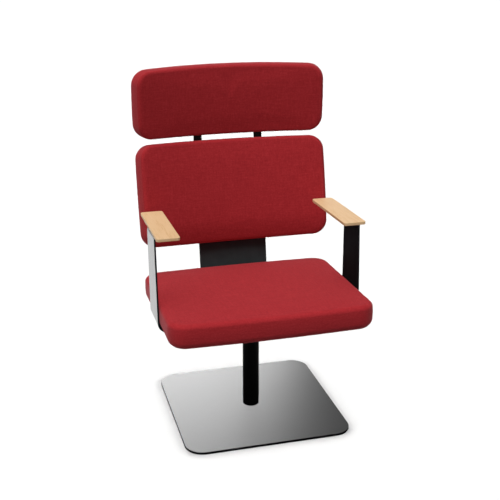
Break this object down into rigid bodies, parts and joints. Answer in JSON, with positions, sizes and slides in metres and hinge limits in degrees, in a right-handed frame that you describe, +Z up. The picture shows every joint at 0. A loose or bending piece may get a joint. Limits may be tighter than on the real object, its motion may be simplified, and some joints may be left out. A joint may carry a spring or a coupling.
{
  "type": "swivel lounge chair",
  "caption": "High back lounge chair with bowed back and headrest pads on a forked steel plate, flat wooden armrests and a seat that swivels on a column over a square base.",
  "frame": {"origin": "on the floor, under the middle of the base plate, on the swivel column's axis", "axes": "+Z up along the column, -Y towards the chair's front, +X to the right of someone who faces the chair"},
  "size_m": [0.606, 0.6043, 1.022],
  "materials": {
    "upholstery": "fine woven wool",
    "lacquer": "satin lacquer",
    "beech": "clear satin varnish",
    "plywood": "raw",
    "zinc": "zinc plated",
    "plastic": "matte"
  },
  "bodies": {
    "base": {"base_plate": "lacquer", "base_glides": "plastic", "column_tube": "lacquer", "column_plug": "zinc", "column_bolt": "zinc", "lower_bush": "plastic", "upper_bush": "plastic"},
    "seat_unit": {"spindle": "lacquer", "spindle_clip": "zinc", "hub_plate": "lacquer", "hub_bolts": "zinc", "seat_board": "plywood", "seat_tnuts": "zinc", "seat_cushion": "upholstery", "left_arm_plate": "lacquer", "right_arm_plate": "lacquer", "arm_bolts": "zinc", "left_armrest": "beech", "right_armrest": "beech", "armrest_screws": "zinc", "back_plate": "lacquer", "plate_bolts": "zinc", "back_shell": "plywood", "back_spacers": "plastic", "back_screws": "zinc", "back_tnuts": "zinc", "back_cushion": "upholstery", "headrest_shell": "plywood", "headrest_screws": "zinc", "headrest_cushion": "upholstery"}
  },
  "joints": [
    {"name": "seat_swivel", "type": "hinge", "parent": "base", "child": "seat_unit", "pos_m": [0, 0, 0.3], "axis": [0, 0, 1], "continuous": true}
  ]
}
